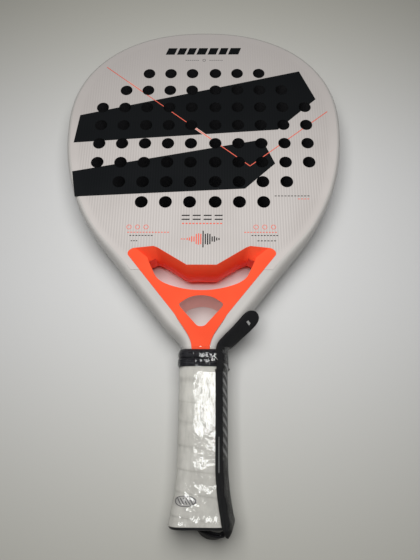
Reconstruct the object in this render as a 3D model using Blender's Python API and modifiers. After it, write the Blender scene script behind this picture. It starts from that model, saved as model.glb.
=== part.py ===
"""Padel racket: a hollow frame tube around a drilled foam core between two skins,
a moulded throat bridge, a wrapped handle, a wrist strap and a clear sleeve on the handle.

The racket lies on its back face.  +X is to its right, +Y runs from the butt to the head
and +Z is its thickness.  Sizes are in millimetres, Y is counted from the butt end, and
the parent empty moves the whole racket so that its footprint is centred on the origin.
"""

import math

import bmesh
import bpy
import numpy as np
from mathutils import Matrix, Vector

MM = 0.001
GAP = 0.3                      # clearance between two pieces that touch

# Racket
LENGTH = 455.0
STRAP_REACH = 9.99             # how far the strap turn stands out below the butt
THICKNESS = 38.0
MID = THICKNESS / 2
SKIN = 1.0

# Head outline: a superellipse above its widest line, a curve below it, then a straight arm
HEAD_HALF_WIDTH = 130.0
WIDEST_Y = 343.0
HEAD_EXPONENT = 2.2
ARM_LOW = Vector((30.6, 145.9))
ARM_HIGH = Vector((88.0, 217.2))
NECK = Vector((15.5, 127.0))
LEG_HALF_WIDTH = 11.5
LEG_END = 16.0
SKIN_END = 193.0               # the skins stop here, on the arms
SKIN_EDGE = ((SKIN_END, 4.7), (235.0, 2.8))    # inset of the skins from the silhouette

# Frame tube section along Y: width, half height, side rounding across and down
TUBE_WALL = 2.2
TUBE_SHAPE = (
    (LEG_END, 9.4, 10.5, 3.0, 3.0),
    (108.0, 9.4, 10.5, 3.0, 3.0),
    (127.0, 8.2, 16.0, 7.0, 12.6),
    (148.0, 12.8, 18.8, 7.0, 14.0),
    (SKIN_END, 12.8, 18.8, 7.0, 14.0),
    (235.0, 12.8, 18.8, 4.5, 9.0),
    (LENGTH, 12.8, 18.8, 4.5, 9.0),
)
GROOVE_START = 170.0
GROOVE_END = 236.0
GROOVE_DEPTH = 1.6
GROOVE_HALF_WIDTH = 2.2

# Drilled holes: number in each row from the throat to the tip
HOLE_ROWS = (6, 8, 10, 10, 10, 10, 8, 6)
HOLE_RADIUS = 5.75
HOLE_PITCH_X = 21.4
HOLE_PITCH_Y = 20.43
HOLE_CENTRE_GAP = 22.7         # between the two middle columns
FIRST_ROW_Y = 256.7

# Throat bridge
BRIDGE_TOP = ((12.8, 197.3), (38.0, 213.0), (41.5, 214.3), (57.2, 212.6))
CROSSBAR_TOP = ((14.0, 203.5), (38.5, 219.0), (43.0, 221.5))
CROSSBAR_ARM_Y = 209.0
BEVEL_DEPTH = 10.0             # depth of the sloping wall of the upper opening
OPENING_RIM = ((12.8, 197.3), (38.0, 213.0), (41.5, 214.3), (56.4, 212.5), (46.0, 204.0))
OPENING_WALL = ((13.0, 191.2), (34.0, 204.5), (40.0, 206.8), (47.0, 203.4), (45.3, 202.4))
OPENING_SIDE = ((44.5, 200.0), (39.3, 189.0))
OPENING_CORNER = ((39.3, 189.0), (37.3, 185.0), (33.5, 181.8), (24.7, 179.0))
OPENING_BASE_Y = 175.1
WINDOW_TOP_Y = 170.7
WINDOW_CORNER = (17.5, 163.1)
WINDOW_BASE = (2.8, 144.8)

# Handle: half width, half height and corner radius of each layer
PALLET = (15.1, 13.8, 7.0)
GRIP = (17.2, 15.9, 9.0)
TAPE = (18.0, 16.7, 8.5)
COLLAR = (17.9, 17.7, 8.0)
PALLET_WALL = 2.8
GRIP_WALL = 1.8
TAPE_WALL = 0.5
FLARE_START = 45.0             # the handle widens from here down to the butt
FLARE_X = 5.7
FLARE_Z = 1.6
GRIP_START = 3.5
GRIP_TOP = 119.2
PALLET_TOP = 107.0
TAPE_SPAN = (113.6, 120.4)
COLLAR_SPAN = (120.7, 127.3)
CAP_HOLE_RADIUS = 6.0
BADGE_Y = 17.5
BADGE_HALF_HEIGHT = 4.2
BADGE_ARC = (3.0, 20.0)        # from the middle of the grip, round its left corner

# Wrist strap
PLY = 1.5
PLY_GAP = 0.35
STRAP_WIDTH = 15.0
STRAP_LIFT = 0.6               # above the handle's layers, which it crosses in straight facets
STRAP_TILT = 28.0              # degrees up from +X, on the handle
STRAP_FLATTER = 3.0            # the strap bends less tightly than the corner under it
FILM_GAP = 0.9
FILM_WALL = 0.3
FILM_SPAN = (0.9, 128.6)


# ---------------------------------------------------------------- scene helpers

def clear_scene():
    for item in list(bpy.data.objects):
        bpy.data.objects.remove(item, do_unlink=True)


def new_collection(name):
    group = bpy.data.collections.new(name)
    bpy.context.scene.collection.children.link(group)
    return group


def new_material(name, color, roughness, metallic=0.0, alpha=1.0):
    material = bpy.data.materials.new(name)
    material.use_nodes = True
    shader = material.node_tree.nodes["Principled BSDF"]
    shader.inputs["Base Color"].default_value = (*color, 1.0)
    shader.inputs["Roughness"].default_value = roughness
    shader.inputs["Metallic"].default_value = metallic
    shader.inputs["Alpha"].default_value = alpha
    return material


def add_part(name, mesh, material):
    part = bpy.data.objects.new(name, mesh)
    PARTS.objects.link(part)
    part.parent = ROOT
    mesh.materials.clear()
    mesh.materials.append(material)
    mesh.shade_smooth()
    mesh.set_sharp_from_angle(angle=math.radians(35))
    return part


def add_cutter(name, mesh):
    cutter = bpy.data.objects.new(name, mesh)
    CUTTERS.objects.link(cutter)
    cutter.parent = ROOT
    cutter.hide_render = True
    cutter.display_type = "WIRE"
    return cutter


def boolean(part, cutter, operation="DIFFERENCE"):
    modifier = part.modifiers.new(cutter.name, "BOOLEAN")
    modifier.object = cutter
    modifier.operation = operation
    modifier.solver = "EXACT"


def solidify(part, thickness, offset):
    modifier = part.modifiers.new("wall", "SOLIDIFY")
    modifier.thickness = thickness * MM
    modifier.offset = offset
    modifier.use_even_offset = True


# ---------------------------------------------------------------- mesh builders

def mesh_from_bmesh(name, source):
    mesh = bpy.data.meshes.new(name)
    source.to_mesh(mesh)
    source.free()
    return mesh


def plate_mesh(name, outline, low, high):
    """A flat outline in X and Y, extruded from height low to height high."""
    curve = bpy.data.curves.new(name, "CURVE")
    curve.dimensions = "2D"
    curve.fill_mode = "BOTH"
    curve.extrude = (high - low) / 2 * MM
    spline = curve.splines.new("POLY")
    spline.points.add(len(outline) - 1)
    for point, (x, y) in zip(spline.points, outline):
        point.co = (x * MM, y * MM, 0.0, 1.0)
    spline.use_cyclic_u = True
    drawn = bpy.data.objects.new(name, curve)
    CUTTERS.objects.link(drawn)
    bpy.context.view_layer.update()
    evaluated = drawn.evaluated_get(bpy.context.evaluated_depsgraph_get())
    mesh = bpy.data.meshes.new_from_object(evaluated)
    bpy.data.objects.remove(drawn, do_unlink=True)
    work = bmesh.new()
    work.from_mesh(mesh)
    bmesh.ops.remove_doubles(work, verts=work.verts, dist=0.00001)
    bmesh.ops.dissolve_limit(work, angle_limit=0.01, verts=work.verts, edges=work.edges)
    bmesh.ops.translate(work, verts=work.verts, vec=(0.0, 0.0, (low + high) / 2 * MM))
    bmesh.ops.recalc_face_normals(work, faces=work.faces)
    work.to_mesh(mesh)
    work.free()
    return mesh


def loft_mesh(name, rings, closed_ring=True, loop=False, caps=False):
    """Quads between rings that all have the same number of points.

    loop joins the last ring to the first, and caps closes both ends.  An open surface faces
    out when each ring runs clockwise, seen along the way from the first ring to the last."""
    work = bmesh.new()
    rows = [[work.verts.new(Vector(point) * MM) for point in ring] for ring in rings]
    pairs = list(zip(rows, rows[1:]))
    if loop:
        pairs.append((rows[-1], rows[0]))
    count = len(rows[0])
    last = count if closed_ring else count - 1
    for row, following in pairs:
        for i in range(last):
            j = (i + 1) % count
            work.faces.new((row[i], row[j], following[j], following[i]))
    if caps:
        work.faces.new(rows[0])
        work.faces.new(rows[-1])
    if loop or caps:
        bmesh.ops.recalc_face_normals(work, faces=work.faces)
    return mesh_from_bmesh(name, work)


def bezier(start, handle_a, handle_b, end, steps):
    """Points of a cubic curve, both ends included."""
    points = []
    for t in np.linspace(0.0, 1.0, steps + 1):
        s = 1.0 - t
        points.append(Vector(start) * s ** 3 + Vector(handle_a) * (3 * s * s * t)
                      + Vector(handle_b) * (3 * s * t * t) + Vector(end) * t ** 3)
    return points


def mirrored(half):
    """A closed outline from its right half, which starts and ends at X = 0 or next to it."""
    return list(half) + [(-x, y) for x, y in reversed(half) if abs(x) > 0.001]


# ---------------------------------------------------------------- frame outline

ARM_DIRECTION = (ARM_HIGH - ARM_LOW).normalized()
ARM_INWARD = Vector((-ARM_DIRECTION.y, ARM_DIRECTION.x))


def arm_point(y, inset):
    """A point beside the straight arm, inset from the outer silhouette at height y."""
    along = (y - ARM_LOW.y) / ARM_DIRECTION.y
    return ARM_LOW + ARM_DIRECTION * along + ARM_INWARD * inset


def half_outline():
    """The outer silhouette of the right half, from the leg in the handle to the tip."""
    legs = [Vector((LEG_HALF_WIDTH, y)) for y in (LEG_END, 62.0, 108.0)]
    legs += [Vector((13.5, 117.5)), Vector((14.7, 122.5))]
    fillet = bezier(NECK, NECK + Vector((0.0, 7.0)), ARM_LOW - ARM_DIRECTION * 10, ARM_LOW, 5)
    arm_stops = (GROOVE_START - 3, GROOVE_START, SKIN_END)
    arm = [arm_point(y, 0.0) for y in arm_stops]
    widest = Vector((HEAD_HALF_WIDTH, WIDEST_Y))
    shoulder = bezier(ARM_HIGH, ARM_HIGH + ARM_DIRECTION * 34, widest - Vector((0.0, 60.0)), widest, 8)
    crown = []
    for angle in np.linspace(0.0, math.pi / 2, 13)[1:]:
        x = HEAD_HALF_WIDTH * max(math.cos(angle), 0.0) ** (2 / HEAD_EXPONENT)
        y = WIDEST_Y + (LENGTH - WIDEST_Y) * math.sin(angle) ** (2 / HEAD_EXPONENT)
        crown.append(Vector((0.0 if x < 0.01 else x, y)))
    return legs + fillet + arm + shoulder + crown


def inward_normals(points):
    normals = []
    for i, point in enumerate(points):
        before = points[max(i - 1, 0)]
        after = points[min(i + 1, len(points) - 1)]
        tangent = ((point - before).normalized() + (after - point).normalized())
        tangent.normalize()
        normals.append(Vector((-tangent.y, tangent.x)))
    normals[-1] = Vector((0.0, -1.0))
    return normals


OUTLINE = half_outline()
INWARD = inward_normals(OUTLINE)


def tube_value(y, column):
    return float(np.interp(y, [row[0] for row in TUBE_SHAPE], [row[column] for row in TUBE_SHAPE]))


def inset_outline(inset, lowest):
    """The right half of the silhouette moved inward, for stations above height lowest.

    inset is a function of the station's height."""
    points = []
    for point, normal in zip(OUTLINE, INWARD):
        if point.y > lowest:
            moved = point + normal * inset(point.y)
            points.append((max(moved.x, 0.0), moved.y))
    return points


# ---------------------------------------------------------------- frame and faces

def tube_ring(point, normal, side):
    """One section of the frame tube, from its inner top edge round the outside."""
    width, half_height, across, down = (tube_value(point.y, k) for k in range(1, 5))
    groove = GROOVE_DEPTH if GROOVE_START <= point.y <= GROOVE_END else 0.0
    upper = [(width, half_height)]
    for angle in (0.0, math.pi / 6, math.pi / 3, math.pi / 2):
        n = across * (1 - math.sin(angle))
        upper.append((n, half_height - down * (1 - math.cos(angle))))
    upper.append((0.0, GROOVE_HALF_WIDTH))
    lower = [(n, -z) for n, z in reversed(upper)]
    ring = []
    for n, z in upper + [(groove, 0.0)] + lower:
        place = point + normal * n
        ring.append((side * place.x, place.y, MID + z))
    return ring


def make_frame_tube():
    right = [tube_ring(p, n, 1) for p, n in zip(OUTLINE, INWARD)]
    left = [tube_ring(p, n, -1) for p, n in zip(OUTLINE[:-1], INWARD[:-1])]
    mesh = loft_mesh("frame_tube", right + left[::-1])
    part = add_part("frame_tube", mesh, WHITE_PAINT)
    solidify(part, TUBE_WALL, -1.0)
    boolean(part, make_skin_seat())


def make_skin_seat():
    """Two blocks that lower the tube's top and bottom where the skins lie on it."""
    work = bmesh.new()
    depth = 8.0
    for middle in (THICKNESS - SKIN - GAP + depth / 2, SKIN + GAP - depth / 2):
        block = bmesh.ops.create_cube(work, size=1.0)["verts"]
        size = Vector((2.2 * HEAD_HALF_WIDTH, LENGTH - SKIN_END + 20, depth))
        place = Vector((0.0, SKIN_END - GAP + size.y / 2, middle))
        bmesh.ops.scale(work, vec=size * MM, verts=block)
        bmesh.ops.translate(work, vec=place * MM, verts=block)
    return add_cutter("skin_seat", mesh_from_bmesh("skin_seat", work))


def hole_centres():
    for row, count in enumerate(HOLE_ROWS):
        y = FIRST_ROW_Y + row * HOLE_PITCH_Y
        for column in range(count // 2):
            x = HOLE_CENTRE_GAP / 2 + column * HOLE_PITCH_X
            yield x, y
            yield -x, y


def make_hole_cutter(name, radius, sides):
    work = bmesh.new()
    for x, y in hole_centres():
        bmesh.ops.create_cone(work, cap_ends=True, segments=sides, radius1=radius * MM,
                              radius2=radius * MM, depth=2 * THICKNESS * MM,
                              matrix=Matrix.Translation(Vector((x, y, MID)) * MM))
    return add_cutter(name, mesh_from_bmesh(name, work))


def make_foam_core(cutter):
    inset = 12.8 + GAP
    corner = arm_point(CROSSBAR_ARM_Y + 1.2, inset)
    base = [(x, y + 0.4) for x, y in CROSSBAR_TOP] + [tuple(corner)]
    outline = mirrored(base + inset_outline(lambda y: inset, ARM_HIGH.y - 1))
    mesh = plate_mesh("foam_core", outline, SKIN + GAP, THICKNESS - SKIN - GAP)
    part = add_part("foam_core", mesh, BLACK_FOAM)
    boolean(part, cutter)


def make_skin(name, low, cutter, bridge_clearance):
    def edge(y):
        return float(np.interp(y, *zip(*SKIN_EDGE)))

    inset = SKIN_EDGE[0][1]
    corner = arm_point(SKIN_END - inset * ARM_INWARD.y, inset)
    outline = mirrored([tuple(corner)] + inset_outline(edge, SKIN_END + 0.1))
    mesh = plate_mesh(name, outline, low, low + SKIN)
    part = add_part(name, mesh, WHITE_FACE)
    boolean(part, bridge_clearance)
    boolean(part, cutter)


# ---------------------------------------------------------------- throat bridge

def bridge_half_height(y):
    return float(np.interp(y, (109.0, 127.0, 148.0), (11.0, 16.2, MID)))


def bridge_side(clearance):
    """The bridge's side, which follows the inner wall of the frame tube down to the handle."""
    side = [tuple(arm_point(197.6, 12.8 + clearance))]
    for point, normal in reversed(list(zip(OUTLINE, INWARD))):
        if 107.0 < point.y < 160.0:
            side.append(tuple(point + normal * (tube_value(point.y, 1) + clearance)))
    return side


def bridge_outline(clearance):
    """The right half of the bridge seen from above, with a clearance to the tube's wall."""
    grow = 1.5 * GAP - clearance
    top = [(x - grow / 2, y + grow) for x, y in BRIDGE_TOP]
    side = bridge_side(clearance)
    corner = bezier(top[-1], (61.0 + grow, 212.2 + grow), (64.4 + grow, 208.6), side[0], 5)
    return top + [tuple(point) for point in corner[1:-1]] + side


def opening_base(count):
    """The shallow arc along the top of the bridge bar, from X = 24.7 to the middle."""
    x_end, y_end = OPENING_CORNER[-1]
    rise = y_end - OPENING_BASE_Y
    radius = (x_end ** 2 + rise ** 2) / (2 * rise)
    points = []
    for x in np.linspace(x_end, 0.0, count + 1)[1:]:
        points.append((x, OPENING_BASE_Y + radius - math.sqrt(radius ** 2 - x ** 2)))
    return points


def make_opening_cutter():
    corner = [tuple(p) for p in bezier(*OPENING_CORNER, 4)][1:]
    lower = list(OPENING_SIDE) + corner + opening_base(3)[:-1] + [(0.0, OPENING_BASE_Y)]

    def ring(upper, z):
        half = list(upper) + lower
        return [(x, y, z) for x, y in mirrored(half)]

    heights = (
        (OPENING_RIM, THICKNESS + 2), (OPENING_RIM, THICKNESS), (OPENING_WALL, THICKNESS - BEVEL_DEPTH),
        (OPENING_WALL, BEVEL_DEPTH), (OPENING_RIM, 0.0), (OPENING_RIM, -2.0),
    )
    rings = [ring(upper, z) for upper, z in heights]
    return add_cutter("upper_opening", loft_mesh("upper_opening", rings, caps=True))


def make_window_cutter():
    corner_x, corner_y = WINDOW_CORNER
    base_x, base_y = WINDOW_BASE
    arch = bezier((0.0, WINDOW_TOP_Y), (6.5, WINDOW_TOP_Y), (11.5, WINDOW_TOP_Y - 2.0),
                  (corner_x - 2.6, corner_y + 2.6), 5)
    turn = bezier(arch[-1], (corner_x + 1.0, corner_y + 0.9), (corner_x + 1.2, corner_y - 0.6),
                  (corner_x - 1.6, corner_y - 3.6), 4)
    half = [tuple(p) for p in arch + turn[1:]] + [(base_x, base_y)]
    mesh = plate_mesh("window", mirrored(half), -2.0, THICKNESS + 2)
    return add_cutter("window", mesh)


def thin_neck(mesh):
    """Slices the neck across and thins it towards the handle."""
    work = bmesh.new()
    work.from_mesh(mesh)
    for y in (148.0, 141.0, 134.0, 127.0, 118.0):
        geometry = work.verts[:] + work.edges[:] + work.faces[:]
        bmesh.ops.bisect_plane(work, geom=geometry, dist=0.000001,
                               plane_co=(0.0, y * MM, 0.0), plane_no=(0.0, 1.0, 0.0))
    for vertex in work.verts:
        share = bridge_half_height(vertex.co.y / MM) / MID
        vertex.co.z = MID * MM + (vertex.co.z - MID * MM) * share
    work.to_mesh(mesh)
    work.free()


def make_throat_bridge():
    mesh = plate_mesh("throat_bridge", mirrored(bridge_outline(GAP)), 0.0, THICKNESS)
    thin_neck(mesh)
    part = add_part("throat_bridge", mesh, CORAL_PAINT)
    arm_edge = [tuple(arm_point(y, 12.8 + 1.7 * GAP)) for y in (CROSSBAR_ARM_Y, 197.0)]
    half = list(CROSSBAR_TOP) + arm_edge + [(40.0, 182.0), (12.0, 173.9)]
    crossbar = plate_mesh("crossbar", mirrored(half), SKIN + GAP, THICKNESS - SKIN - GAP)
    boolean(part, add_cutter("crossbar", crossbar), "UNION")
    boolean(part, make_opening_cutter())
    boolean(part, make_window_cutter())


# ---------------------------------------------------------------- handle

def rounded_section(half_width, half_height, radius, segments=3):
    """A rounded rectangle in X and Z around the handle's axis, clockwise seen along +Y."""
    points = []
    for corner in range(4):
        sign_x = (1, -1, -1, 1)[corner]
        sign_z = (1, 1, -1, -1)[corner]
        for step in range(segments + 1):
            angle = math.pi / 2 * (corner + step / segments)
            x = sign_x * (half_width - radius) + radius * math.cos(angle)
            z = sign_z * (half_height - radius) + radius * math.sin(angle)
            points.append((x, MID + z))
    return points[::-1]


def flare(y):
    return max(0.0, 1 - y / FLARE_START) ** 2


def layer_section(layer, y):
    """Half width, half height and corner radius of a handle layer, with the butt's flare."""
    half_width, half_height, radius = layer
    return half_width + FLARE_X * flare(y), half_height + FLARE_Z * flare(y), radius


def layer_ring(layer, y, segments=3):
    return [(x, y, z) for x, z in rounded_section(*layer_section(layer, y), segments)]


def make_layer(name, layer, stations, wall, material):
    mesh = loft_mesh(name, [layer_ring(layer, y) for y in stations])
    part = add_part(name, mesh, material)
    solidify(part, wall, -1.0)


def make_handle():
    make_layer("handle_pallet", PALLET, (3.9, 8.0, 16.0, 28.0, 45.0, PALLET_TOP), PALLET_WALL, TAN_FOAM)
    make_layer("grip_wrap", GRIP, (GRIP_START, 6.5, 11.0, 18.0, 28.0, 45.0, GRIP_TOP), GRIP_WALL,
               WHITE_GRIP)
    make_layer("finishing_tape", TAPE, TAPE_SPAN, TAPE_WALL, BLACK_TAPE)


def make_handle_foam():
    half_width = LEG_HALF_WIDTH - 9.4 - GAP
    low, high = LEG_END + 1, 107.5
    work = bmesh.new()
    bmesh.ops.create_cube(work, size=1.0)
    size = Vector((2 * half_width, high - low, 2 * 10.2)) * MM
    bmesh.ops.scale(work, vec=size, verts=work.verts)
    bmesh.ops.translate(work, vec=Vector((0.0, (low + high) / 2, MID)) * MM, verts=work.verts)
    add_part("handle_foam", mesh_from_bmesh("handle_foam", work), BLACK_FOAM)


def make_grip_collar():
    low, high = COLLAR_SPAN
    half_width, half_height, radius = COLLAR
    inner = (15.8, 16.5, 7.0)
    bevel = 1.2
    shrunk = (half_width - bevel, half_height - bevel, radius - bevel)
    profile = ((shrunk, low), (COLLAR, low + 1.0), (COLLAR, high - 2.2), (shrunk, high),
               (inner, high), (inner, low))
    rings = [[(x, y, z) for x, z in rounded_section(*section)] for section, y in profile]
    add_part("grip_collar", loft_mesh("grip_collar", rings, loop=True), BLACK_RUBBER)


def make_butt_cap():
    hole = (CAP_HOLE_RADIUS,) * 3
    plug = (11.6, 10.3, 3.8)
    bore = (9.6, 8.3, 2.5)
    profile = (
        (hole, 0.0), ((19.6, 15.6, 8.0), 0.0), ((20.9, 16.9, 8.6), 0.7), ((21.6, 17.2, 9.0), 2.5),
        (plug, 2.5), (plug, 12.0), (bore, 12.0), (bore, 2.5), (hole, 2.5),
    )
    rings = [[(x, y, z) for x, z in rounded_section(*section)] for section, y in profile]
    add_part("butt_cap", loft_mesh("butt_cap", rings, loop=True), BLACK_PLASTIC)


def section_arc_point(layer, y, distance, lift):
    """A point on the top of a layer, a distance to the left of its middle along the surface."""
    half_width, half_height, radius = layer_section(layer, y)
    flat = half_width - radius
    if distance <= flat:
        return (-distance, y, MID + half_height + lift)
    angle = (distance - flat) / radius
    reach = radius + lift
    return (-flat - reach * math.sin(angle), y, MID + half_height - radius + reach * math.cos(angle))


def make_grip_badge():
    middle = sum(BADGE_ARC) / 2
    half_length = (BADGE_ARC[1] - BADGE_ARC[0]) / 2
    rows = []
    for share in np.linspace(-0.96, 0.96, 11):
        reach = BADGE_HALF_HEIGHT * math.sqrt(1 - share ** 2)
        distance = middle + share * half_length
        rows.append([section_arc_point(GRIP, BADGE_Y + k * reach, distance, GAP) for k in (-1, 0, 1)])
    mesh = loft_mesh("grip_badge", rows, closed_ring=False)
    part = add_part("grip_badge", mesh, GREY_BADGE)
    solidify(part, 0.2, 1.0)


# ---------------------------------------------------------------- wrist strap

def outer_layer(y):
    """The layer that the strap lies on at height y."""
    if y > TAPE_SPAN[1] - 1:
        return COLLAR
    return TAPE if y > TAPE_SPAN[0] - 2 else GRIP


def strap_on_handle(y):
    """Middle of the strap's inner face where it lies over the handle's upper right corner."""
    half_width, half_height, radius = layer_section(outer_layer(y), y)
    tilt = math.radians(STRAP_TILT)
    reach = radius + STRAP_LIFT
    x = half_width - radius + reach * math.cos(tilt)
    z = MID + half_height - radius + reach * math.sin(tilt)
    return (x, y, z, STRAP_TILT, STRAP_WIDTH, reach + STRAP_FLATTER)


# x, y, z, tilt in degrees, width and bend radius across the strap
STRAP_TURN = (
    (0.6, 3.8, MID, 0.0, 8.0, 60.0),
    (0.6, 0.0, MID, 0.0, 8.0, 60.0),
    (2.2, -3.4, MID + 0.3, 0.0, 9.0, 60.0),
    (6.6, -5.9, MID + 1.0, 0.0, 11.0, 50.0),
    (13.0, -6.6, MID + 2.5, 4.0, 13.0, 40.0),
    (19.6, -5.2, MID + 4.5, 10.0, 14.0, 25.0),
    (23.9, -1.4, MID + 7.4, 21.0, 15.0, 14.0),
)
STRAP_STOPS = (3.6, 10.0, 17.0, 26.0, 42.0, 75.0, 107.0, 112.2, 119.6, 127.8)
STRAP_TONGUE = (
    (21.6, 133.6, 33.6, 36.0, 15.0, 14.0),
    (27.8, 140.2, 33.0, 44.0, 15.0, 25.0),
    (34.6, 147.0, 33.2, 52.0, 15.0, 50.0),
    (39.0, 151.6, 33.0, 58.0, 14.6, 80.0),
    (41.8, 154.6, 32.8, 60.0, 12.4, 80.0),
    (43.4, 156.4, 32.6, 60.0, 8.8, 80.0),
    (44.3, 157.4, 32.5, 60.0, 3.6, 80.0),
)


def strap_stations():
    """Place, width and bend of the strap, with its tangent, outward and sideways directions."""
    rows = list(STRAP_TURN) + [strap_on_handle(y) for y in STRAP_STOPS] + list(STRAP_TONGUE)
    stations = []
    for i, (x, y, z, tilt, width, bend) in enumerate(rows):
        before = Vector(rows[max(i - 1, 0)][:3])
        after = Vector(rows[min(i + 1, len(rows) - 1)][:3])
        tangent = (after - before).normalized()
        flat = Vector((tangent.y, -tangent.x, 0.0)).normalized()
        outward = flat * math.cos(math.radians(tilt)) + Vector((0, 0, math.sin(math.radians(tilt))))
        outward = (outward - tangent * outward.dot(tangent)).normalized()
        sideways = tangent.cross(outward)
        stations.append((Vector((x, y, z)), width, bend, outward, sideways))
    return stations


def strap_rows(lift, columns=5):
    """Rows of points across the strap, lifted off its inner face."""
    rows = []
    for place, width, bend, outward, sideways in STRAP:
        radius = bend + lift
        row = []
        for share in np.linspace(-1.0, 1.0, columns):
            angle = share * width / (2 * bend)
            across = sideways * (radius * math.sin(angle))
            drop = outward * (radius * math.cos(angle) - bend)
            row.append(tuple(place + across + drop))
        rows.append(row)
    return rows


def make_strap_ply(name, lift):
    """One strip of webbing, split along the same diagonals as the strip it lies against."""
    work = bmesh.new()
    borders = []
    for height in (lift, lift + PLY):
        rows = [[work.verts.new(Vector(point) * MM) for point in row] for row in strap_rows(height)]
        for row, following in zip(rows, rows[1:]):
            for i in range(len(row) - 1):
                work.faces.new((row[i], row[i + 1], following[i + 1]))
                work.faces.new((row[i], following[i + 1], following[i]))
        right = [row[-1] for row in rows[1:]]
        left = [row[0] for row in rows[-2:0:-1]]
        borders.append(rows[0] + right + rows[-1][-2::-1] + left)
    inner, outer = borders
    for i in range(len(inner)):
        work.faces.new((inner[i - 1], inner[i], outer[i], outer[i - 1]))
    bmesh.ops.recalc_face_normals(work, faces=work.faces)
    add_part(name, mesh_from_bmesh(name, work), BLACK_WEBBING)


def make_bar_tack():
    """A row of thread across the strap near the end of its tongue."""
    place, _, _, outward, sideways = STRAP[-4]
    along = outward.cross(sideways)
    height = 2 * PLY + PLY_GAP + GAP + 0.45
    curve = bpy.data.curves.new("strap_bar_tack", "CURVE")
    curve.dimensions = "3D"
    curve.bevel_depth = 0.4 * MM
    curve.bevel_resolution = 1
    curve.use_fill_caps = True
    spline = curve.splines.new("POLY")
    steps = 9
    spline.points.add(steps - 1)
    for i, point in enumerate(spline.points):
        share = i / (steps - 1) - 0.5
        zigzag = 0.5 if i % 2 else -0.5
        spot = place + outward * height + sideways * (6.0 * share) + along * (zigzag - 1.0)
        point.co = (*(spot * MM), 1.0)
    drawn = bpy.data.objects.new("strap_bar_tack", curve)
    CUTTERS.objects.link(drawn)
    bpy.context.view_layer.update()
    evaluated = drawn.evaluated_get(bpy.context.evaluated_depsgraph_get())
    mesh = bpy.data.meshes.new_from_object(evaluated)
    bpy.data.objects.remove(drawn, do_unlink=True)
    work = bmesh.new()
    work.from_mesh(mesh)
    bmesh.ops.remove_doubles(work, verts=work.verts, dist=0.00001)
    bmesh.ops.recalc_face_normals(work, faces=work.faces)
    work.to_mesh(mesh)
    work.free()
    add_part("strap_bar_tack", mesh, WHITE_THREAD)


def make_strap_anchor():
    work = bmesh.new()
    turn = Matrix.Rotation(math.pi / 2, 4, "Y")
    place = Matrix.Translation(Vector((0.0, 7.2, MID)) * MM)
    bmesh.ops.create_cone(work, cap_ends=True, segments=16, radius1=2.6 * MM, radius2=2.6 * MM,
                          depth=15.0 * MM, matrix=place @ turn)
    add_part("strap_anchor", mesh_from_bmesh("strap_anchor", work), BLACK_PLASTIC)


# ---------------------------------------------------------------- clear sleeve

def sleeve_ring(y, points):
    """A tight ring around points in X and Z: the smallest convex outline, plus a gap."""
    centre = np.array((2.0, MID + 1.0))
    angles = np.linspace(0.0, 2 * math.pi, 73)[:-1]
    directions = np.stack((np.cos(angles), np.sin(angles)), axis=1)
    support = ((np.array(points) - centre) @ directions.T).max(axis=0) + FILM_GAP
    ring = []
    for angle in angles[::2]:
        spread = np.cos(angles - angle)
        facing = spread > 0.1
        reach = (support[facing] / spread[facing]).min()
        ring.append((centre[0] + reach * math.cos(angle), y, centre[1] + reach * math.sin(angle)))
    return ring[::-1]


def make_film_sleeve():
    first = len(STRAP_TURN) - 1
    last = first + len(STRAP_STOPS) + 1
    tracks = []
    for lift in (0.0, 2 * PLY + PLY_GAP):
        face = strap_rows(lift, columns=7)[first:last + 1]
        tracks += [np.array([row[column] for row in face]) for column in range(7)]
    rings = []
    for y in (FILM_SPAN[0], 3.2, 5.2, 7.6, 12.0, 19.0, 28.0, 45.0, 106.0, 113.2, 120.6, 127.0, FILM_SPAN[1]):
        layer = outer_layer(min(y, COLLAR_SPAN[1]))
        points = rounded_section(*layer_section(layer, max(y, GRIP_START)), segments=6)
        for track in tracks:
            x, z = (float(np.interp(y, track[:, 1], track[:, k])) for k in (0, 2))
            points.append((x, z))
        rings.append(sleeve_ring(y, points))
    part = add_part("film_sleeve", loft_mesh("film_sleeve", rings), CLEAR_FILM)
    solidify(part, FILM_WALL, 1.0)


# ---------------------------------------------------------------- build

clear_scene()
PARTS = new_collection("padel_racket")
CUTTERS = new_collection("cutters")
ROOT = bpy.data.objects.new("racket_origin", None)
PARTS.objects.link(ROOT)
ROOT.location = (0.0, -(LENGTH - STRAP_REACH) / 2 * MM, 0.0)

WHITE_PAINT = new_material("white_paint", (0.60, 0.58, 0.56), 0.35)
WHITE_FACE = new_material("white_face", (0.58, 0.57, 0.54), 0.45)
CORAL_PAINT = new_material("coral_paint", (0.95, 0.09, 0.03), 0.40)
BLACK_FOAM = new_material("black_foam", (0.010, 0.010, 0.011), 0.90)
TAN_FOAM = new_material("tan_foam", (0.35, 0.26, 0.16), 0.80)
WHITE_GRIP = new_material("white_grip", (0.62, 0.61, 0.58), 0.60)
BLACK_TAPE = new_material("black_tape", (0.012, 0.012, 0.014), 0.30)
BLACK_RUBBER = new_material("black_rubber", (0.014, 0.014, 0.015), 0.50)
BLACK_PLASTIC = new_material("black_plastic", (0.013, 0.013, 0.014), 0.45)
BLACK_WEBBING = new_material("black_webbing", (0.010, 0.010, 0.011), 0.75)
WHITE_THREAD = new_material("white_thread", (0.70, 0.70, 0.68), 0.70)
GREY_BADGE = new_material("grey_badge", (0.30, 0.30, 0.31), 0.35)
CLEAR_FILM = new_material("clear_film", (0.90, 0.90, 0.90), 0.10, alpha=0.25)

STRAP = strap_stations()

BRIDGE_CLEARANCE = add_cutter("bridge_clearance", plate_mesh(
    "bridge_clearance", mirrored(bridge_outline(0.0)), -2.0, THICKNESS + 2))
SKIN_HOLES = make_hole_cutter("skin_holes", HOLE_RADIUS, 10)
CORE_HOLES = make_hole_cutter("core_holes", HOLE_RADIUS + 0.2, 8)

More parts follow.
